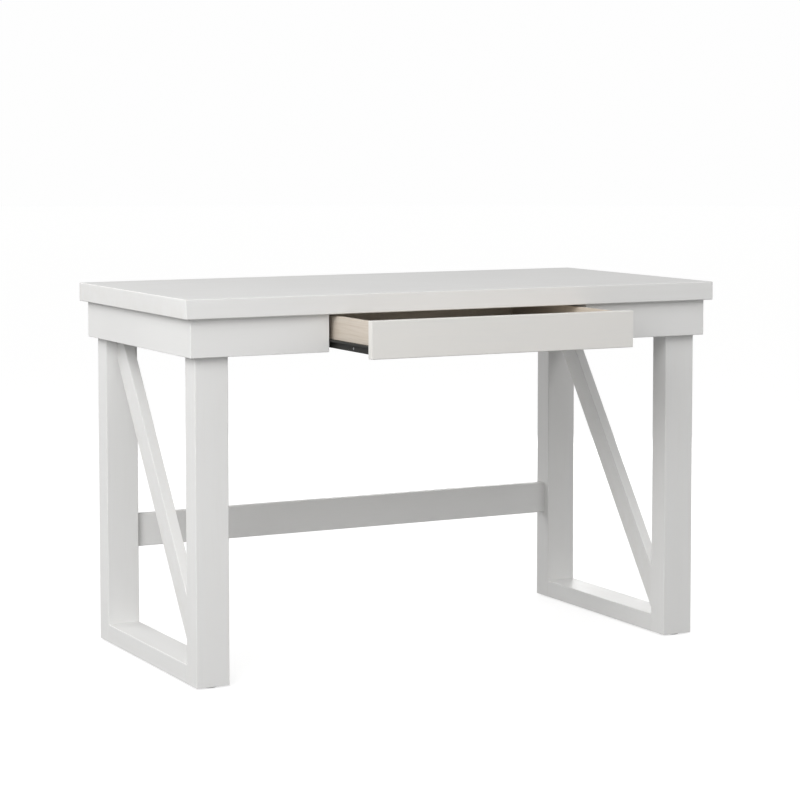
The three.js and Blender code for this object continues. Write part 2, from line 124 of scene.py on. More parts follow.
def section(corners, radii, inset=0.0, steps=4):
    # A polygon with rounded corners, drawn inset from its sides. A convex corner c with
    # outward side normals n1 and n2 has its centre at c - r m, m = (n1 + n2) / (1 + n1.n2),
    # and the arc is centre + (r - inset) n, with n turned from n1 to n2. A reflex corner
    # is filleted from the other side: c + r m - (r + inset) n.
    c = np.array(corners, float)
    r = np.broadcast_to(np.array(radii, float), len(c))
    ahead = np.roll(c, -1, 0)
    if np.sum(c[:, 0] * ahead[:, 1] - ahead[:, 0] * c[:, 1]) < 0:
        c, r = c[::-1], r[::-1]
    before, after = c - np.roll(c, 1, 0), np.roll(c, -1, 0) - c
    n1 = np.stack([before[:, 1], -before[:, 0]], 1)
    n2 = np.stack([after[:, 1], -after[:, 0]], 1)
    n1 /= np.linalg.norm(n1, axis=1, keepdims=True)
    n2 /= np.linalg.norm(n2, axis=1, keepdims=True)
    dot = np.sum(n1 * n2, 1)
    turn = np.arctan2(n1[:, 0] * n2[:, 1] - n1[:, 1] * n2[:, 0], dot)
    m = (n1 + n2) / (1 + dot)[:, None]
    count = np.where(r > 0, steps + 1, 1)
    i = np.repeat(np.arange(len(c)), count)
    s = (np.arange(len(i)) - np.repeat(np.cumsum(count) - count, count))
    s = np.where(r[i] > 0, s / steps, 0.5)
    cos, sin = np.cos(turn[i] * s), np.sin(turn[i] * s)
    n = np.stack([n1[i, 0] * cos - n1[i, 1] * sin, n1[i, 0] * sin + n1[i, 1] * cos], 1)
    rounding = r[i, None]
    convex = c[i] - np.maximum(rounding, inset) * m[i] + np.maximum(rounding - inset, 0) * n
    reflex = c[i] + rounding * m[i] - (rounding + inset) * n
    sharp = c[i] - inset * m[i]
    points = np.where(rounding == 0, sharp, np.where(turn[i, None] > 0, convex, reflex))
    return points, np.where(r[i] > 0, np.sin(np.pi * s), 0.0)


def easedStations(start, stop, ease, steps=4):
    # Stations (place, inset, edge) of a board whose ends are rounded over by ease:
    # inset = ease (1 - cos a) and place = ease (1 - sin a) from the end, a from 90 to 0.
    a = np.linspace(math.pi / 2, 0, steps + 1)
    inset = ease * (1 - np.cos(a))
    away = ease * (1 - np.sin(a))
    onEdge = np.sin(2 * a)
    place = np.concatenate([start + away, (stop - away)[::-1]])
    return place, np.concatenate([inset, inset[::-1]]), np.concatenate([onEdge, onEdge[::-1]])


def prism(corners, radii, axis, start, stop, ease):
    # A section carried along an axis, with eased ends. Corners are given in the two
    # other axes, in x, y, z order.
    place, inset, onEdge = easedStations(start, stop, ease)
    across = [k for k in range(3) if k != axis]
    loops = [section(corners, radii, d) for d in inset]
    rows = np.empty((len(place), len(loops[0][0]), 3))
    rows[:, :, across] = np.array([points for points, _ in loops])
    rows[:, :, axis] = place[:, None]
    edge = np.maximum(np.array([e for _, e in loops]), onEdge[:, None])
    return sweptShell(rows, edge)


def rectangle(low, high):
    return [(low[0], low[1]), (high[0], low[1]), (high[0], high[1]), (low[0], high[1])]


def board(low, high, edge, ease, axis=None):
    # A board between two corners: a rounded rectangle carried along its length.
    size = np.array(high) - np.array(low)
    axis = int(np.argmax(size)) if axis is None else axis
    across = [k for k in range(3) if k != axis]
    corners = rectangle([low[k] for k in across], [high[k] for k in across])
    return prism(corners, edge, axis, low[axis], high[axis], ease)


def turned(profile, place, axis, around, outline=None, ring=False):
    # A profile of (radius, distance) turned about the line from place along axis.
    # outline(angle) gives the shape of a driver's recess. A profile point with a
    # negative radius follows it: its radius is that share of the outline's.
    profile = np.array(profile, float)
    angle = np.linspace(0, 2 * math.pi, around, endpoint=False)
    radius = np.broadcast_to(profile[:, :1], (len(profile), around))
    if outline is not None:
        radius = np.where(radius < 0, -radius * outline(angle), radius)
    local = np.stack([
        radius * np.cos(angle),
        radius * np.sin(angle),
        np.broadcast_to(profile[:, 1:], radius.shape),
    ], axis=-1)
    turn = np.array(Vector((0, 0, 1)).rotation_difference(Vector(axis)).to_matrix())
    rows = local @ turn.T + np.array(place)
    return sweptShell(rows, np.zeros(radius.shape), ring)


def crossOutline(length, width):
    # A plus sign in polar form: the further of two rectangles, each the nearer of its
    # two pairs of sides, |a / cos| and |b / sin|.
    tiny = 1e-6

    def radii(angle):
        cos = np.maximum(np.abs(np.cos(angle)), tiny)
        sin = np.maximum(np.abs(np.sin(angle)), tiny)
        flat = np.minimum(length / 2 / cos, width / 2 / sin)
        upright = np.minimum(width / 2 / cos, length / 2 / sin)
        return np.maximum(flat, upright)
    return radii


def hexOutline(acrossFlats):
    # A hexagon in polar form: half the width over the cosine of the angle from the
    # middle of the nearest side.

    def radii(angle):
        fromMiddle = np.mod(angle, math.pi / 3) - math.pi / 6
        return acrossFlats / 2 / np.cos(fromMiddle)
    return radii


def arc(centre, radius, first, last, steps):
    # Points on an arc of a profile, with its angles in degrees.
    a = np.radians(np.linspace(first, last, steps + 1))
    return np.stack([centre[0] + radius * np.cos(a), centre[1] + radius * np.sin(a)], 1).tolist()


def dome(radius, height, crownAngle, steps):
    # A low dome's profile from its rim up: (r cos a, h sin a), a from 0 to crownAngle.
    a = np.radians(np.linspace(0, crownAngle, steps + 1))
    return np.stack([radius * np.cos(a), height * np.sin(a)], 1).tolist()


# Material helpers.

def addNode(tree, kind, inputs=None, **settings):
    node = tree.nodes.new(kind)
    for key, value in settings.items():
        setattr(node, key, value)
    for key, value in (inputs or {}).items():
        if isinstance(value, bpy.types.NodeSocket):
            tree.links.new(value, node.inputs[key])
        else:
            node.inputs[key].default_value = value
    return node


def maths(tree, operation, first, second, clamp=False):
    node = addNode(tree, "ShaderNodeMath", {0: first, 1: second}, operation=operation)
    node.use_clamp = clamp
    return node.outputs[0]


def remap(tree, value, low, high, toLow=0.0, toHigh=1.0):
    node = addNode(tree, "ShaderNodeMapRange", {
        "Value": value, "From Min": low, "From Max": high, "To Min": toLow, "To Max": toHigh,
    })
    return node.outputs["Result"]


def mixColour(tree, factor, first, second):
    node = addNode(tree, "ShaderNodeMix", data_type="RGBA")
    for key, value in (("Factor", factor), ("A", first), ("B", second)):
        socket = next(s for s in node.inputs if s.name == key and s.enabled)
        if isinstance(value, bpy.types.NodeSocket):
            tree.links.new(value, socket)
        else:
            socket.default_value = value
    return next(s for s in node.outputs if s.enabled)


def newGroup(name, inputs, outputs):
    tree = bpy.data.node_groups.new(name, "ShaderNodeTree")
    for label, kind, value in inputs:
        socket = tree.interface.new_socket(label, in_out="INPUT", socket_type=kind)
        if value is not None:
            socket.default_value = value
    for label, kind in outputs:
        tree.interface.new_socket(label, in_out="OUTPUT", socket_type=kind)
    return tree, tree.nodes.new("NodeGroupInput"), tree.nodes.new("NodeGroupOutput")


def placeGroup(tree, group, inputs):
    return addNode(tree, "ShaderNodeGroup", inputs, node_tree=group).outputs


floatSocket, vectorSocket = "NodeSocketFloat", "NodeSocketVector"
noiseMiddle = (0.3, 0.7)        # where most of a noise lies
grainPattern = {
    "wanderScale": 3.0,
    "wander": 0.03,         # metres that the lines stray
    "fibreScale": 6.0,
    "figureScale": 0.6,
}
wearPatches = (0.35, 0.7)       # noise values where rubbing starts and is full


def makeGrainGroup():
    # Long fibres: noise squeezed along the board, warped by a slower noise, so that
    # the lines wander. Fibre is fine lines and Figure is the broad light and dark.
    tree, given, made = newGroup("board grain", [
        ("Vector", vectorSocket, None),
        ("Seed", floatSocket, 0.0),
        ("Along", floatSocket, 2.0),
        ("Across", floatSocket, 90.0),
    ], [("Fibre", floatSocket), ("Figure", floatSocket)])
    stretch = addNode(tree, "ShaderNodeCombineXYZ", {
        "X": given.outputs["Along"], "Y": given.outputs["Across"], "Z": given.outputs["Across"],
    })
    wander = addNode(tree, "ShaderNodeTexNoise", {
        "Vector": given.outputs["Vector"], "W": given.outputs["Seed"],
        "Scale": grainPattern["wanderScale"], "Detail": 2.0,
    }, noise_dimensions="4D")
    bend = addNode(tree, "ShaderNodeVectorMath", {
        0: wander.outputs["Color"], "Scale": grainPattern["wander"],
    }, operation="SCALE")
    moved = addNode(tree, "ShaderNodeVectorMath", {
        0: given.outputs["Vector"], 1: bend.outputs[0],
    }, operation="ADD")
    fine = addNode(tree, "ShaderNodeVectorMath", {
        0: moved.outputs[0], 1: stretch.outputs[0],
    }, operation="MULTIPLY")
    fibre = addNode(tree, "ShaderNodeTexNoise", {
        "Vector": fine.outputs[0], "W": given.outputs["Seed"],
        "Scale": grainPattern["fibreScale"], "Detail": 5.0, "Roughness": 0.62,
    }, noise_dimensions="4D")
    figure = addNode(tree, "ShaderNodeTexNoise", {
        "Vector": fine.outputs[0], "W": given.outputs["Seed"],
        "Scale": grainPattern["figureScale"], "Detail": 2.0, "Distortion": 0.4,
    }, noise_dimensions="4D")
    tree.links.new(fibre.outputs["Fac"], made.inputs["Fibre"])
    tree.links.new(figure.outputs["Fac"], made.inputs["Figure"])
    return tree


def makeWearGroup():
    # Rubbed edges: the edge attribute broken up by noise.
    tree, given, made = newGroup("rubbed edge", [
        ("Vector", vectorSocket, None),
        ("Edge", floatSocket, 0.0),
        ("Scale", floatSocket, 60.0),
        ("Amount", floatSocket, 0.5),
    ], [("Mask", floatSocket)])
    patches = addNode(tree, "ShaderNodeTexNoise", {
        "Vector": given.outputs["Vector"], "Scale": given.outputs["Scale"], "Detail": 4.0,
    })
    broken = remap(tree, patches.outputs["Fac"], *wearPatches)
    onEdge = maths(tree, "MULTIPLY", given.outputs["Edge"], broken)
    mask = maths(tree, "MULTIPLY", onEdge, given.outputs["Amount"], clamp=True)
    tree.links.new(mask, made.inputs["Mask"])
    return tree


def makeSkinGroup():
    # Fine texture of a sprayed or moulded skin, and slow cloudy unevenness.
    tree, given, made = newGroup("skin texture", [
        ("Vector", vectorSocket, None),
        ("Seed", floatSocket, 0.0),
        ("Scale", floatSocket, 700.0),
    ], [("Peel", floatSocket), ("Cloud", floatSocket)])
    peel = addNode(tree, "ShaderNodeTexNoise", {
        "Vector": given.outputs["Vector"], "Scale": given.outputs["Scale"], "Detail": 2.0,
    })
    cloud = addNode(tree, "ShaderNodeTexNoise", {
        "Vector": given.outputs["Vector"], "W": given.outputs["Seed"],
        "Scale": 5.0, "Detail": 3.0,
    }, noise_dimensions="4D")
    tree.links.new(peel.outputs["Fac"], made.inputs["Peel"])
    tree.links.new(cloud.outputs["Fac"], made.inputs["Cloud"])
    return tree


grainGroup = makeGrainGroup()
wearGroup = makeWearGroup()
skinGroup = makeSkinGroup()


def newMaterial(name):
    # An empty material with its shader, the piece's own coordinates, its seed and edge.
    material = bpy.data.materials.new(name)
    material.use_nodes = True
    tree = material.node_tree
    tree.nodes.clear()
    shader = addNode(tree, "ShaderNodeBsdfPrincipled")
    output = addNode(tree, "ShaderNodeOutputMaterial")
    tree.links.new(shader.outputs["BSDF"], output.inputs["Surface"])
    vector = addNode(tree, "ShaderNodeTexCoord").outputs["Object"]
    seed = addNode(tree, "ShaderNodeAttribute", attribute_name="seed").outputs["Fac"]
    edge = addNode(tree, "ShaderNodeAttribute", attribute_name="edge").outputs["Fac"]
    return material, tree, shader, vector, seed, edge


def turnedVector(tree, vector, turn):
    # The board's length comes to the pattern's X.
    mapping = addNode(tree, "ShaderNodeMapping", {"Vector": vector, "Rotation": turn})
    return mapping.outputs["Vector"]


def bump(tree, shader, height, strength, distance):
    node = addNode(tree, "ShaderNodeBump", {
        "Height": height, "Strength": strength, "Distance": distance,
    })
    tree.links.new(node.outputs["Normal"], shader.inputs["Normal"])


whitePaint = {
    "colour": (0.71, 0.708, 0.70, 1),
    "drawerColour": (0.718, 0.703, 0.675, 1),
    "thinPaint": (0.68, 0.675, 0.66, 1),
    "rubbed": (0.62, 0.60, 0.56, 1),
    "roughness": (0.40, 0.52),
    "grainDepth": 0.05 * mm,
    "bump": 0.25,
    "grainAlong": 1.2,
    "grainAcross": 34.0,
    "lines": (0.52, 0.75, 0.0, 0.4),    # fibre noise from and to, thinning from and to
    "broad": (0.35, 0.75, 0.0, 0.35),   # the same for the figure
    "peelScale": 900.0,
    "peelHeight": 0.12,     # of the grain's
    "wearScale": 45.0,
    "wear": 0.35,
}


def makeWhitePaint(name, turn, film="colour"):
    # Satin paint over wood: the grain telegraphs through as faint lines, the film is a
    # little thinner on the eased edges.
    material, tree, shader, vector, seed, edge = newMaterial(name)
    lengthwise = turnedVector(tree, vector, turn)
    grain = placeGroup(tree, grainGroup, {
        "Vector": lengthwise, "Seed": seed,
        "Along": whitePaint["grainAlong"], "Across": whitePaint["grainAcross"],
    })
    skin = placeGroup(tree, skinGroup, {
        "Vector": vector, "Seed": seed, "Scale": whitePaint["peelScale"],
    })
    wear = placeGroup(tree, wearGroup, {
        "Vector": vector, "Edge": edge,
        "Scale": whitePaint["wearScale"], "Amount": whitePaint["wear"],
    })
    lines = remap(tree, grain["Fibre"], *whitePaint["lines"])
    broad = remap(tree, grain["Figure"], *whitePaint["broad"])
    thin = maths(tree, "ADD", lines, broad, clamp=True)
    colour = mixColour(tree, thin, whitePaint[film], whitePaint["thinPaint"])
    colour = mixColour(tree, wear["Mask"], colour, whitePaint["rubbed"])
    tree.links.new(colour, shader.inputs["Base Color"])
    rough = remap(tree, skin["Cloud"], *noiseMiddle, *whitePaint["roughness"])
    tree.links.new(rough, shader.inputs["Roughness"])
    peel = maths(tree, "MULTIPLY", skin["Peel"], whitePaint["peelHeight"])
    height = maths(tree, "ADD", grain["Fibre"], peel)
    bump(tree, shader, height, whitePaint["bump"], whitePaint["grainDepth"])
    return material


quarter = math.pi / 2
braceLow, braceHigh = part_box("left_diagonal_brace")
braceSlope = math.atan2(braceHigh.z - braceLow.z, braceHigh.y - braceLow.y)
alongX, alongY, alongZ = (0, 0, 0), (0, 0, -quarter), (0, quarter, 0)
paint = {
    "x": makeWhitePaint("white paint along x", alongX),
    "y": makeWhitePaint("white paint along y", alongY),
    "z": makeWhitePaint("white paint along z", alongZ),
    "brace": makeWhitePaint("white paint along brace", (-braceSlope, 0, -quarter)),
    "drawer": makeWhitePaint("white paint on drawer", alongX, "drawerColour"),
}

bareWood = {                # what all the unpainted woods share
    "grainAlong": 1.5,
    "lines": (0.45, 0.72, 0.0, 0.7),    # as in the paint, for the darker tone
    "broad": (0.4, 0.7, 0.0, 0.5),
    "wearScale": 80.0,
    "wear": 0.4,
    "bump": 0.4,
    "grainDepth": 0.08 * mm,
}
drawerWood = {
    "light": (0.60, 0.54, 0.47, 1),
    "dark": (0.48, 0.41, 0.33, 1),
    "roughness": (0.42, 0.6),
    "grainAcross": 60.0,
}
drawerPanelWood = {
    "light": (0.76, 0.70, 0.62, 1),
    "dark": (0.66, 0.59, 0.51, 1),
    "roughness": (0.5, 0.65),
    "grainAcross": 40.0,
}
drawerBackWood = {**drawerPanelWood, "grainAcross": 60.0}
dowelWood = {
    "light": (0.62, 0.47, 0.31, 1),
    "dark": (0.45, 0.31, 0.18, 1),
    "roughness": (0.6, 0.75),
    "grainAcross": 200.0,
}


def makeWood(name, wood, turn):
    # Pale planed wood: long dark fibres in a broad figure, under a thin lacquer.
    material, tree, shader, vector, seed, edge = newMaterial(name)
    lengthwise = turnedVector(tree, vector, turn)
    grain = placeGroup(tree, grainGroup, {
        "Vector": lengthwise, "Seed": seed,
        "Along": bareWood["grainAlong"], "Across": wood["grainAcross"],
    })
    wear = placeGroup(tree, wearGroup, {
        "Vector": vector, "Edge": edge,
        "Scale": bareWood["wearScale"], "Amount": bareWood["wear"],
    })
    lines = remap(tree, grain["Fibre"], *bareWood["lines"])
    broad = remap(tree, grain["Figure"], *bareWood["broad"])
    tone = maths(tree, "ADD", lines, broad, clamp=True)
    colour = mixColour(tree, tone, wood["light"], wood["dark"])
    colour = mixColour(tree, wear["Mask"], colour, wood["dark"])
    tree.links.new(colour, shader.inputs["Base Color"])
    rough = remap(tree, grain["Fibre"], *noiseMiddle, *wood["roughness"])
    tree.links.new(rough, shader.inputs["Roughness"])
    bump(tree, shader, grain["Fibre"], bareWood["bump"], bareWood["grainDepth"])
    return material


sideWood = makeWood("drawer side wood", drawerWood, alongY)
backWood = makeWood("drawer back wood", drawerBackWood, alongX)
panelWood = makeWood("drawer panel wood", drawerPanelWood, alongY)
beech = makeWood("dowel beech", dowelWood, alongY)

smoothSkin = {              # what the steels and plastics share
    "wearScale": 150.0,
    "wear": 0.6,
    "speckle": (0.4, 0.7),  # noise values where the dull tone starts and is full
    "bump": 0.25,
    "depth": 0.03 * mm,
}
blackCoating = {
    "colour": (0.014, 0.014, 0.013, 1),
    "dull": (0.035, 0.035, 0.032, 1),
    "metallic": 0.0,
    "roughness": (0.42, 0.56),
    "scale": 1200.0,
    "gloss": 0.3,
}
zincPlating = {
    "colour": (0.56, 0.57, 0.60, 1),
    "dull": (0.40, 0.41, 0.43, 1),
    "metallic": 1.0,
    "roughness": (0.28, 0.45),
    "scale": 1600.0,
    "gloss": 0.5,
}
mouldedNylon = {
    "colour": (0.78, 0.76, 0.69, 1),
    "dull": (0.68, 0.65, 0.57, 1),
    "metallic": 0.0,
    "roughness": (0.35, 0.5),
    "scale": 1400.0,
    "gloss": 0.5,
}
glidePlastic = {
    "colour": (0.24, 0.24, 0.235, 1),
    "dull": (0.17, 0.17, 0.165, 1),
    "metallic": 0.0,
    "roughness": (0.5, 0.65),
    "scale": 1800.0,
    "gloss": 0.5,
}


def makeSmooth(name, skinKind):
    # Plated or coated steel, or moulded plastic: cloudy roughness, fine speckle and
    # dulled edges.
    material, tree, shader, vector, seed, edge = newMaterial(name)
    skin = placeGroup(tree, skinGroup, {
        "Vector": vector, "Seed": seed, "Scale": skinKind["scale"],
    })
    wear = placeGroup(tree, wearGroup, {
        "Vector": vector, "Edge": edge,
        "Scale": smoothSkin["wearScale"], "Amount": smoothSkin["wear"],
    })
    speckle = remap(tree, skin["Peel"], *smoothSkin["speckle"])
    base = mixColour(tree, speckle, skinKind["colour"], skinKind["dull"])
    base = mixColour(tree, wear["Mask"], base, skinKind["dull"])
    tree.links.new(base, shader.inputs["Base Color"])
    rough = remap(tree, skin["Cloud"], *noiseMiddle, *skinKind["roughness"])
    tree.links.new(rough, shader.inputs["Roughness"])
    shader.inputs["Metallic"].default_value = skinKind["metallic"]
    shader.inputs["Specular IOR Level"].default_value = skinKind["gloss"]
    bump(tree, shader, skin["Peel"], smoothSkin["bump"], smoothSkin["depth"])
    return material


blackSteel = makeSmooth("black coated steel", blackCoating)
zincSteel = makeSmooth("zinc plated steel", zincPlating)
nylon = makeSmooth("natural nylon", mouldedNylon)
greyPlastic = makeSmooth("grey glide plastic", glidePlastic)
print("materials made:", len(bpy.data.materials))

paintedBoard = {
    "edge": 1.6 * mm,      # rounding of the long edges
    "ease": 0.5 * mm,      # rounding where an end meets another board
    "topEdge": 2.0 * mm,   # rounding all round the tabletop
    "drawerEase": 1.2 * mm,
    "seedStep": 1.7,
}
boardsMade = 0


def paintBoard(name, shell, grain, body="desk"):
    global boardsMade
    boardsMade += 1
    return makePiece(
        "painted_" + name, [shell], paint[grain], body, [name],
        boardsMade * paintedBoard["seedStep"],
    )


def straightBoard(name, edge=None, ease=None, low=None, high=None, grain=None, body="desk"):
    boxLow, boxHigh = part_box(name)
    low, high = low or boxLow, high or boxHigh
    axis = int(np.argmax(np.array(high) - np.array(low)))
    edge = paintedBoard["edge"] if edge is None else edge
    ease = paintedBoard["ease"] if ease is None else ease
    return paintBoard(name, board(low, high, edge, ease), grain or "xyz"[axis], body)


straightBoard("tabletop", paintedBoard["topEdge"], paintedBoard["topEdge"])
straightBoard("drawer_front", ease=paintedBoard["drawerEase"], grain="drawer", body="drawer")
for side in sides:
    straightBoard("drawer_partition_" + side)
    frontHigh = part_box(side + "_front_post")[1]
    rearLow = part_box(side + "_rear_post")[0]
    for end in ends:
        straightBoard(f"{side}_{end}_post")
    for rail in ("bottom_rail", "top_rail"):  # between the posts, without the tenons
        low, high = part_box(f"{side}_{rail}")
        low.y, high.y = frontHigh.y, rearLow.y
        straightBoard(f"{side}_{rail}", low=low, high=high)

brace = {
    "width": 52 * mm,
    "cornerEdge": 0.3 * mm,
    "edge": 1.2 * mm,
}


def braceOutline(low, high):
    # The middle line joins two corners of the window, and each end is cut to its corner.
    slope = math.atan2(high.z - low.z, high.y - low.y)
    alongY = brace["width"] / 2 / math.sin(slope)
    alongZ = brace["width"] / 2 / math.cos(slope)
    return [
        (low.y, low.z),
        (low.y + alongY, low.z),
        (high.y, high.z - alongZ),
        (high.y, high.z),
        (high.y - alongY, high.z),
        (low.y, low.z + alongZ),
    ]


for side in sides:
    name = side + "_diagonal_brace"
    low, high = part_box(name)
    shell = prism(braceOutline(low, high), brace["cornerEdge"], 0, low.x, high.x, brace["edge"])
    paintBoard(name, shell, "brace")

# Apron boards meet in mitres. A board is drawn in its own directions: t along it, n out
# of its face, and depth from the face inwards. Round a corner of radius R the face
# follows an arc, and what lies deeper than R runs straight to the mitre.
apronBoard = {
    "corner": 2.0 * mm,    # rounding of the apron's upright corners
    "bottomEdge": 1.2 * mm,
    "topEdge": 0.3 * mm,
    "ease": 0.8 * mm,      # at the drawer opening
}


def mitreRows(points, end, corner, steps=5):
    # One row for each angle a from 45 degrees to 0: t = end + rho sin a, n = rho cos a,
    # with rho = R - depth, and t = end + rho where rho is negative.
    a = np.radians(np.linspace(45, 0, steps + 1))[:, None]
    rho = corner - points[None, :, 0]
    outer = np.maximum(rho, 0)
    t = (end - corner) + np.where(rho >= 0, outer * np.sin(a), rho)
    out = -corner + np.where(rho >= 0, outer * np.cos(a), rho)
    z = np.broadcast_to(points[None, :, 1], t.shape)
    return np.stack([t, out, z], axis=-1)


def apronRows(thickness, zLow, zHigh, length, mitred):
    # The rows of a board from -length / 2 to length / 2 along t.
    corners = rectangle((0, zLow), (thickness, zHigh))
    radii = [apronBoard["bottomEdge"], apronBoard["bottomEdge"], apronBoard["topEdge"],
             apronBoard["topEdge"]]
    flat, onEdge = section(corners, radii)
    rows, edge = [], []
    for sign, isMitred in zip((-1, 1), mitred):
        if isMitred:
            half = mitreRows(flat, length / 2, apronBoard["corner"])
            halfEdge = np.broadcast_to(onEdge, half.shape[:2])
        else:
            place, inset, ringEdge = easedStations(-length / 2, length / 2, apronBoard["ease"])
            count = len(place) // 2
            loops = np.array([section(corners, radii, d)[0] for d in inset[:count]])
            half = np.stack([
                np.broadcast_to(-place[:count, None], loops.shape[:2]),
                -loops[:, :, 0],
                loops[:, :, 1],
            ], axis=-1)
            halfEdge = np.maximum(onEdge[None, :], ringEdge[:count, None])
        half = half * np.array([sign, 1, 1])
        rows.append(half if sign < 0 else half[::-1])
        edge.append(halfEdge if sign < 0 else halfEdge[::-1])
    return np.concatenate(rows), np.concatenate(edge)


def apronPiece(name, along, outward, mitred):
    low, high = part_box(name)
    t, n = Vector(along), Vector(outward)
    middle = (low + high) / 2
    half = (high - low) / 2
    length = 2 * abs(half.dot(t))
    thickness = 2 * abs(half.dot(n))
    rows, edge = apronRows(thickness, low.z, high.z, length, mitred)
    face = middle + n * thickness / 2
    world = (
        rows[..., :1] * np.array(t)
        + rows[..., 1:2] * np.array(n)
        + np.array((face.x, face.y, 0))
    )
    world[..., 2] = rows[..., 2]
    return paintBoard(name, sweptShell(world, edge), "x" if along[0] else "y")


apronPiece("rear_apron", (1, 0, 0), (0, 1, 0), (True, True))
apronPiece("front_apron_left", (1, 0, 0), (0, -1, 0), (True, False))
apronPiece("front_apron_right", (1, 0, 0), (0, -1, 0), (False, True))
for side, sign in sides.items():
    apronPiece("side_apron_" + side, (0, 1, 0), (sign, 0, 0), (True, True))
print("painted boards made:", boardsMade)

drawerBox = {
    "edge": 1.0 * mm,
    "ease": 0.3 * mm,
    "grooveDepth": 6 * mm,
    "grooveRoom": 0.25 * mm,
    "sideSeed": 30.0,
    "sideSeedStep": 2.3,
    "backSeed": 41.0,
    "bottomSeed": 52.0,
}


def drawerSideOutline(low, high, sign, panelLow, panelHigh):
    # Section in (x, z), with the groove for the bottom on the inner face.
    inner, outer = (high.x, low.x) if sign < 0 else (low.x, high.x)
    groove = inner + sign * drawerBox["grooveDepth"]
    room = drawerBox["grooveRoom"]
    corners = [
        (outer, low.z), (outer, high.z), (inner, high.z), (inner, panelHigh + room),
        (groove, panelHigh + room), (groove, panelLow - room), (inner, panelLow - room),
        (inner, low.z),
    ]
    edge = drawerBox["edge"]
    return corners, [edge, edge, edge, 0, 0, 0, 0, edge]


panelLow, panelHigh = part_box("drawer_bottom")
for number, (side, sign) in enumerate(sides.items()):
    name = "drawer_side_" + side
    low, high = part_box(name)
    corners, radii = drawerSideOutline(low, high, sign, panelLow.z, panelHigh.z)
    shell = prism(corners, radii, 1, low.y, high.y, drawerBox["ease"])
    seed = drawerBox["sideSeed"] + number * drawerBox["sideSeedStep"]
    makePiece("wooden_" + name, [shell], sideWood, "drawer", [name], seed)

low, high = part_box("drawer_back")
shell = board(low, high, drawerBox["edge"], drawerBox["ease"])
makePiece(
    "wooden_drawer_back", [shell], backWood, "drawer", ["drawer_back"],
    drawerBox["backSeed"],
)
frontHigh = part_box("drawer_front")[1]
low, high = panelLow.copy(), panelHigh.copy()
low.y = frontHigh.y
shell = board(low, high, drawerBox["ease"], drawerBox["ease"], axis=1)
makePiece(
    "wooden_drawer_bottom", [shell], panelWood, "drawer", ["drawer_bottom"],
    drawerBox["bottomSeed"],
)
print("drawer box made")


# Slides. A section is drawn in (u, v): u from the partition towards the drawer, v up
# from the lower edge of the drawer side.
slides = {
    "steel": 1.25 * mm,
    "bend": 1.9 * mm,          # outside of a bend
    "innerBend": 0.65 * mm,
    "sheared": 0.2 * mm,       # free edges
    "channelDepth": 11 * mm,
    "channelHeight": 19.75 * mm,
    "channelTopFlange": 8 * mm,
    "face": 13 * mm,           # drawer side
    "flangeTop": 17 * mm,
    "flangeReach": 10 * mm,
    "lipDrop": 4.5 * mm,
    "shelfReach": 11 * mm,
    "tabDrop": 4.5 * mm,       # end tab of the drawer member
    "tabLength": 11 * mm,
    "channelScrews": (60 * mm, 225 * mm, 390 * mm),   # from the front end
    "webScrews": (83 * mm, 240 * mm, 400 * mm),
    "webScrewHeight": 5.3 * mm,
    "cabinetSeed": 60.0,
    "drawerSeed": 64.0,
    "screwSeed": 68.0,
}
axle = {
    "around": 32,
    "height": 8.5 * mm,        # above the lower edge of the drawer side
    "fromEnd": 12 * mm,
    "radius": 2 * mm,
    "headRadius": 3.25 * mm,
    "headHeight": 0.5 * mm,
    "headEdge": 0.1 * mm,
    "slopeWidth": 0.6 * mm,    # the head's slope, inwards from its rim
    "slopeDrop": 0.08 * mm,
    "crownInset": 1.4 * mm,
    "cabinetGap": 0.25 * mm,   # a head on the desk's member to the drawer member's web
    "drawerHeadTop": 3.125 * mm,   # a head on the drawer's member, from the partition
}


def slideSections():
    steel, bend, inner, sheared = (slides[k] for k in ("steel", "bend", "innerBend", "sheared"))
    top, depth = slides["channelHeight"], slides["channelDepth"]
    face, rise = slides["face"], slides["flangeTop"]
    lip = face - slides["flangeReach"]
    lipEnd = rise - slides["lipDrop"]
    shelf = face + slides["shelfReach"]
    topEnd = slides["channelTopFlange"]
    channel = [
        (0, 0, bend), (depth, 0, sheared), (depth, steel, sheared), (steel, steel, inner),
        (steel, top - steel, inner), (topEnd, top - steel, sheared), (topEnd, top, sheared),
        (0, top, bend),
    ]
    angle = [
        (shelf, -steel, sheared), (shelf, 0, sheared), (face, 0, inner), (face, rise, bend),
        (lip, rise, bend), (lip, lipEnd, sheared), (lip + steel, lipEnd, sheared),
        (lip + steel, rise - steel, inner), (face - steel, rise - steel, inner),
        (face - steel, -steel, bend),
    ]
    return channel, angle


def slidePlace(sign, u, v):
    # From the section to (x, z).
    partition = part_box("drawer_partition_right")[0].x
    return sign * (partition - u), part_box("drawer_side_right")[0].z + v


def slideShell(sign, outline, startY, endY):
    corners = [slidePlace(sign, u, v) for u, v, _ in outline]
    return prism(corners, [radius for _, _, radius in outline], 1, startY, endY, slides["sheared"])


def axleShell(sign, u0, u1, y):
    # A stud from the steel at u0 to a domed head whose top is at u1.
    x, z = slidePlace(sign, u0, axle["height"])
    length = abs(u1 - u0)
    radius, head, edge = axle["radius"], axle["headRadius"], axle["headEdge"]
    headBase = length - axle["headHeight"]
    profile = [
        (radius, 0), (radius, headBase), (head - edge, headBase), (head, headBase + edge),
        (head - axle["slopeWidth"], length - axle["slopeDrop"]),
        (head - axle["crownInset"], length),
    ]
    direction = (-sign * math.copysign(1, u1 - u0), 0, 0)
    return turned(profile, (x, y, z), direction, axle["around"])


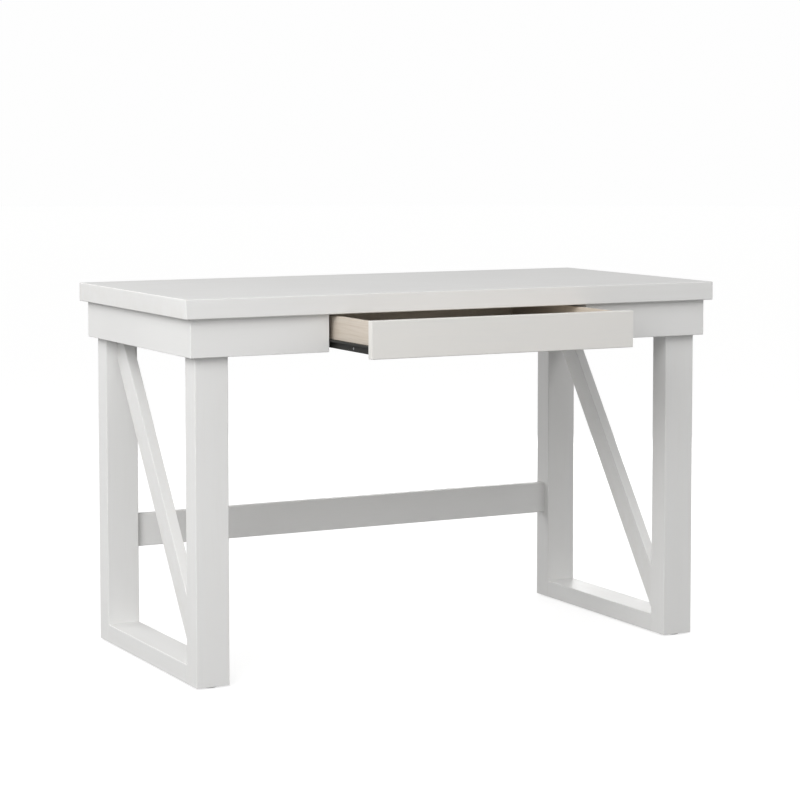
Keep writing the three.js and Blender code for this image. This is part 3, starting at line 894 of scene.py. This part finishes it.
screwHead = {              # what both kinds of head share
    "around": 64,
    "crownAngle": 55,      # degrees, where the dome meets the cross
    "seat": 0.6,           # share of the radius
    "crossFloor": 0.75,    # share of the cross
}
panHead = {
    "radius": 3.4 * mm,
    "height": 1.1 * mm,
    "crossLength": 3.6 * mm,
    "crossWidth": 0.9 * mm,
    "crossDepth": 0.8 * mm,
}
sunkHead = {
    "radius": 2.3 * mm,
    "height": 0.12 * mm,
    "crossLength": 2.4 * mm,
    "crossWidth": 0.6 * mm,
    "crossDepth": 0.1 * mm,
}


def screwHeadShell(head, seat, direction):
    # A low dome with a cross recess that narrows a little towards its floor.
    radius, height = head["radius"], head["height"]
    floor = height - head["crossDepth"]
    profile = [
        (radius * screwHead["seat"], 0), *dome(radius, height, screwHead["crownAngle"], 6),
        (-1.0, height), (-screwHead["crossFloor"], floor),
    ]
    outline = crossOutline(head["crossLength"], head["crossWidth"])
    return turned(profile, seat, direction, screwHead["around"], outline)


def makeSlides():
    channel, angle = slideSections()
    steel = slides["steel"]
    for side, sign in sides.items():
        low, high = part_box("cabinet_slide_" + side)
        startY, endY = low.y, high.y
        shells = [slideShell(sign, channel, startY, endY)]
        headTop = slides["face"] - steel - axle["cabinetGap"]
        shells.append(axleShell(sign, steel / 2, headTop, startY + axle["fromEnd"]))
        x, z = slidePlace(sign, steel, slides["channelHeight"] / 2)
        for distance in slides["channelScrews"]:
            shells.append(screwHeadShell(panHead, (x, startY + distance, z), (-sign, 0, 0)))
        makePiece("steel_cabinet_slide_" + side, shells, blackSteel, "desk",
                  ["cabinet_slide_" + side], slides["cabinetSeed"] + sign)
        low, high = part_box("drawer_slide_" + side)
        startY, endY = low.y, high.y
        shells = [slideShell(sign, angle, startY, endY)]
        web = slides["face"] - steel / 2
        shells.append(axleShell(sign, web, axle["drawerHeadTop"], endY - axle["fromEnd"]))
        outerFace, foot = slidePlace(sign, slides["face"] - steel, -steel - slides["tabDrop"])
        innerFace, shelf = slidePlace(sign, slides["face"], -steel / 2)
        shells.append(board(
            (min(outerFace, innerFace), startY, foot),
            (max(outerFace, innerFace), startY + slides["tabLength"], shelf),
            slides["sheared"], slides["sheared"], axis=1,
        ))
        makePiece("steel_drawer_slide_" + side, shells, blackSteel, "drawer",
                  ["drawer_slide_" + side], slides["drawerSeed"] + sign)
        x, z = slidePlace(sign, slides["face"] - steel, slides["webScrewHeight"])
        heads = [screwHeadShell(sunkHead, (x, startY + distance, z), (sign, 0, 0))
                 for distance in slides["webScrews"]]
        makePiece("steel_slide_screws_" + side, heads, zincSteel, "drawer",
                  [], slides["screwSeed"])


makeSlides()

roller = {
    "face": 4.75 * mm,      # from the partition
    "radius": 7 * mm,
    "width": 6 * mm,
    "bore": 2.3 * mm,
    "bevel": 0.2 * mm,      # at the bore, and the slopes of the dish
    "rim": 0.6 * mm,
    "dish": 0.5 * mm,       # recess between hub and rim
    "hub": 3.6 * mm,
    "web": 5.6 * mm,        # where the rim starts
    "around": 72,
    "seed": 70.0,
}


def makeRollers():
    # One closed profile round the bore: hub, dished web, rounded rim and tread.
    width, radius, rim = roller["width"], roller["radius"], roller["rim"]
    dish, hub, web, bore = roller["dish"], roller["hub"], roller["web"], roller["bore"]
    bevel = roller["bevel"]
    frontRim = arc((radius - rim, rim), rim, -90, 0, 5)
    backRim = arc((radius - rim, width - rim), rim, 0, 90, 5)
    profile = [
        (bore, bevel), (bore + bevel, 0), (hub, 0), (hub + bevel, dish),
        (web - bevel, dish), (web, 0), *frontRim, *backRim, (web, width),
        (web - bevel, width - dish), (hub + bevel, width - dish), (hub, width),
        (bore + bevel, width), (bore, width - bevel),
    ]
    for member in ("cabinet", "drawer"):
        for side, sign in sides.items():
            name = f"{member}_roller_{side}"
            low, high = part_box(name)
            x, z = slidePlace(sign, roller["face"], axle["height"])
            shell = turned(profile, (x, (low.y + high.y) / 2, z), (-sign, 0, 0),
                           roller["around"], ring=True)
            makePiece("nylon_" + name, [shell], nylon, name, [name],
                      roller["seed"] + sign)


makeRollers()
print("slides and rollers made")

# Glides under the posts, brackets and bolts under the top, cams in the stretcher.
glide = {
    "edge": 1.0 * mm,
    "bevel": 0.2 * mm,
    "recess": 4.0 * mm,      # radius of the nail's hole at its mouth
    "recessFloor": 3.6 * mm,
    "recessMiddle": 1.6 * mm,
    "recessDepth": 0.8 * mm,
    "around": 96,
    "seed": 80.0,
}
bracket = {
    "thickness": 2 * mm,
    "bend": 3.0 * mm,
    "innerBend": 1.0 * mm,
    "sheared": 0.35 * mm,
    "seed": 84.0,
}
bolt = {
    "radius": 3 * mm,
    "length": 22 * mm,
    "headRadius": 6 * mm,
    "headHeight": 3.5 * mm,    # of the whole half ellipse
    "crownAngle": 62,          # degrees, where the dome meets the socket
    "hex": 4 * mm,
    "hexDepth": 2.2 * mm,
    "socketTaper": 0.3 * mm,
    "socketPoint": 0.2,        # share of the hexagon at the end of the taper
    "pitch": 1.5 * mm,
    "threadDepth": 0.35 * mm,
    "threadStart": 2 * mm,
    "threadEnd": 1 * mm,       # before the tip
    "tip": 2.1 * mm,           # radius
    "around": 72,
    "seed": 88.0,
}


def glideShell(low, high):
    radius, height, edge = (high.x - low.x) / 2, high.z - low.z, glide["edge"]
    depth, bevel = glide["recessDepth"], glide["bevel"]
    lower = arc((radius - edge, edge), edge, -90, 0, 6)
    profile = [
        (glide["recessMiddle"], depth), (glide["recessFloor"], depth), (glide["recess"], 0),
        *lower, (radius, height - bevel), (radius - bevel, height),
    ]
    middle = ((low.x + high.x) / 2, (low.y + high.y) / 2, 0)
    return turned(profile, middle, (0, 0, 1), glide["around"])


def bracketShell(low, high, sign):
    # The angle's corner is on the top rail, so its legs run inwards and down.
    corner, inner = (high.x, low.x) if sign > 0 else (low.x, high.x)
    steel, cut = bracket["thickness"], bracket["sheared"]
    outline = [
        (corner, high.z, bracket["bend"]), (inner, high.z, cut), (inner, high.z - steel, cut),
        (corner - sign * steel, high.z - steel, bracket["innerBend"]),
        (corner - sign * steel, low.z, cut), (corner, low.z, cut),
    ]
    corners, radii = [(x, z) for x, z, _ in outline], [radius for _, _, radius in outline]
    return prism(corners, radii, 1, low.y, high.y, cut)


def boltShell(seat, direction):
    # A domed head with a hexagon socket, and a threaded shank whose radius falls by the
    # thread depth at every second point.
    head = dome(bolt["headRadius"], -bolt["headHeight"], bolt["crownAngle"], 7)[::-1]
    crown = head[0][1]
    floor = crown + bolt["hexDepth"]
    tip = bolt["length"] - bracket["thickness"]
    halfPitch = bolt["pitch"] / 2
    count = np.arange(int((tip - bolt["threadStart"] - bolt["threadEnd"]) / halfPitch))
    shank = bolt["radius"] - bolt["threadDepth"] * (count % 2)
    thread = np.stack([shank, bolt["threadStart"] + count * halfPitch], 1)
    profile = [
        (-bolt["socketPoint"], floor + bolt["socketTaper"]), (-1.0, floor), (-1.0, crown),
        *head, (bolt["radius"], 0), *thread.tolist(), (bolt["tip"], tip),
    ]
    return turned(profile, seat, direction, bolt["around"], hexOutline(bolt["hex"]))


def makeFittings():
    for side, sign in sides.items():
        for end in ends:
            corner = f"{side}_{end}_"
            low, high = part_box(corner + "glide")
            makePiece("plastic_" + corner + "glide", [glideShell(low, high)], greyPlastic,
                      "desk", [corner + "glide"], glide["seed"])
            low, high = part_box(corner + "bracket")
            makePiece("steel_" + corner + "bracket", [bracketShell(low, high, sign)], zincSteel,
                      "desk", [corner + "bracket"], bracket["seed"])
            middleY = (low.y + high.y) / 2
            topLow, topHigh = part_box(corner + "top_bolt")
            railLow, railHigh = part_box(corner + "rail_bolt")
            topSeat = ((topLow.x + topHigh.x) / 2, middleY, high.z - bracket["thickness"])
            railX = low.x if sign < 0 else high.x
            railSeat = (railX - sign * bracket["thickness"], middleY, (railLow.z + railHigh.z) / 2)
            bolts = (("top_bolt", topSeat, (0, 0, 1)), ("rail_bolt", railSeat, (sign, 0, 0)))
            for kind, seat, direction in bolts:
                makePiece("steel_" + corner + kind, [boltShell(seat, direction)], zincSteel,
                          "desk", [corner + kind], bolt["seed"])


makeFittings()

cam = {
    "edge": 0.4 * mm,
    "crossLength": 9 * mm,
    "crossWidth": 1.6 * mm,
    "crossDepth": 1.5 * mm,
    "crossFloor": 0.9,       # share of the cross
    "around": 144,
    "seed": 90.0,
    "room": 0.25 * mm,       # round the cam in its pocket
    "pocketOvercut": 5 * mm,
    "pocketAround": 72,
}


def makeCams():
    for side in sides:
        low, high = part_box("stretcher_cam_" + side)
        middle, radius, edge = (low + high) / 2, (high.z - low.z) / 2, cam["edge"]
        depth = high.y - low.y
        face = arc((radius - edge, depth - edge), edge, 0, 90, 4)
        floor = depth - cam["crossDepth"]
        profile = [
            (radius - edge, 0), (radius, edge), *face,
            (-1.0, depth), (-cam["crossFloor"], floor),
        ]
        outline = crossOutline(cam["crossLength"], cam["crossWidth"])
        place = (middle.x, low.y, middle.z)
        shell = turned(profile, place, (0, 1, 0), cam["around"], outline)
        makePiece("zinc_stretcher_cam_" + side, [shell], zincSteel, "desk",
                  ["stretcher_cam_" + side], cam["seed"])


def makeStretcher():
    # The board is bored from the back for its cams.
    piece = straightBoard("stretcher")
    for side in sides:
        low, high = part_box("stretcher_cam_" + side)
        middle, radius, room = (low + high) / 2, (high.z - low.z) / 2, cam["room"]
        tool = bpy.data.objects.new("bore", closedShell(*turned(
            [(radius + room, -room), (radius + room, high.y - low.y + cam["pocketOvercut"])],
            (middle.x, low.y, middle.z), (0, 1, 0), cam["pocketAround"],
        )))
        bpy.context.scene.collection.objects.link(tool)
        cut = piece.modifiers.new("bore", "BOOLEAN")
        cut.operation, cut.solver, cut.object = "DIFFERENCE", "EXACT", tool
        piece.modifiers.move(len(piece.modifiers) - 1, 0)
        with bpy.context.temp_override(object=piece):
            bpy.ops.object.modifier_apply(modifier=cut.name)
        bpy.data.objects.remove(tool)
    piece.data.set_sharp_from_angle(angle=math.radians(creaseAngle))


makeCams()
makeStretcher()
for name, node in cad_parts.items():  # the pins inside the joints keep their shape
    if "dowel" in name or "cam_pin" in name:
        node.data.materials.clear()
        node.data.materials.append(beech if "dowel" in name else zincSteel)
print("fittings made")

cameraSetup = {
    "place": (-2.3545, -4.4649, 1.0905),
    "turn": 27.43,         # degrees to the right of +Y
    "tilt": 4.13,          # degrees down
    "lens": 107.93,
    "sensor": 36,
    "shift": -0.12,
    "reach": 100,
}


def makeCamera():
    data = bpy.data.cameras.new("camera")
    data.lens = cameraSetup["lens"]
    data.sensor_width = cameraSetup["sensor"]
    data.shift_y = cameraSetup["shift"]
    data.clip_end = cameraSetup["reach"]
    camera = bpy.data.objects.new("camera", data)
    camera.location = cameraSetup["place"]
    camera.rotation_euler = (
        math.radians(90 - cameraSetup["tilt"]), 0, math.radians(-cameraSetup["turn"]),
    )
    bpy.context.scene.collection.objects.link(camera)
    bpy.context.scene.camera = camera


studio = {
    "floorRadius": 30.0,
    "floorSides": 96,
    "floorRoughness": 0.9,
    "floorColour": (0.29, 0.29, 0.288, 1),
    "floorGlow": 0.76,      # makes the floor meet the white behind it
    "sky": 0.52,            # light from all round
    "backdrop": 0.99,       # what shows above the floor
    "sunPower": 0.95,
    "sunAngle": 50,
    "sunFrom": (-0.65, -0.49, 0.64),
    "softboxes": {          # place, width and height, power
        "front left": ((-2.4, -1.8, 2.1), (1.8, 1.8), 49),
        "low front left": ((-2.6, -3.4, 0.9), (1.8, 1.2), 16),
        "rear left": ((-2.2, 2.4, 1.8), (1.6, 1.6), 32),
        "low rear right": ((2.2, 2.8, 0.5), (2.0, 0.45), 24),
        "low right": ((3.0, 0.3, 0.5), (1.8, 0.45), 13),
        "front right": ((2.5, -1.8, 2.0), (1.8, 1.6), 16),
    },
    "aim": (0, 0, 0.35),
}


def softbox(name, place, size, power):
    data = bpy.data.lights.new(name, "AREA")
    data.shape = "RECTANGLE"
    data.size, data.size_y = size
    data.energy = power
    light = bpy.data.objects.new(name, data)
    light.visible_camera = False
    light.location = place
    direction = Vector(studio["aim"]) - Vector(place)
    light.rotation_euler = direction.to_track_quat("-Z", "Y").to_euler()
    bpy.context.scene.collection.objects.link(light)


def makeWorld():
    # Even white light, and for the camera a brighter white behind the object.
    world = bpy.data.worlds.new("studio")
    world.use_nodes = True
    tree = world.node_tree
    path = addNode(tree, "ShaderNodeLightPath")
    seen = remap(tree, path.outputs["Is Camera Ray"], 0, 1, studio["sky"], studio["backdrop"])
    background = tree.nodes["Background"]
    background.inputs["Color"].default_value = (1, 1, 1, 1)
    tree.links.new(seen, background.inputs["Strength"])
    bpy.context.scene.world = world


def makeFloor():
    # The glow of the floor is for the camera only, so it casts no light on the desk.
    count = studio["floorSides"]
    a = np.linspace(0, 2 * math.pi, count, endpoint=False)
    rim = np.stack([np.cos(a), np.sin(a), np.zeros(count)], 1) * studio["floorRadius"]
    mesh = bpy.data.meshes.new("floor")
    mesh.from_pydata(rim, [], [list(range(count))])
    floor = bpy.data.objects.new("floor", mesh)
    bpy.context.scene.collection.objects.link(floor)
    material, tree, shader, *_ = newMaterial("pale floor")
    shader.inputs["Base Color"].default_value = studio["floorColour"]
    shader.inputs["Roughness"].default_value = studio["floorRoughness"]
    shader.inputs["Emission Color"].default_value = (1, 1, 1, 1)
    path = addNode(tree, "ShaderNodeLightPath")
    glow = maths(tree, "MULTIPLY", path.outputs["Is Camera Ray"], studio["floorGlow"])
    tree.links.new(glow, shader.inputs["Emission Strength"])
    mesh.materials.append(material)


def makeStudio():
    bpy.context.scene.view_settings.view_transform = "Standard"
    makeWorld()
    makeFloor()
    data = bpy.data.lights.new("window light", "SUN")
    data.energy = studio["sunPower"]
    data.angle = math.radians(studio["sunAngle"])
    sun = bpy.data.objects.new("window light", data)
    sun.rotation_euler = Vector(studio["sunFrom"]).to_track_quat("Z", "Y").to_euler()
    bpy.context.scene.collection.objects.link(sun)
    for name, (place, size, power) in studio["softboxes"].items():
        softbox(name, place, size, power)


makeCamera()
makeStudio()
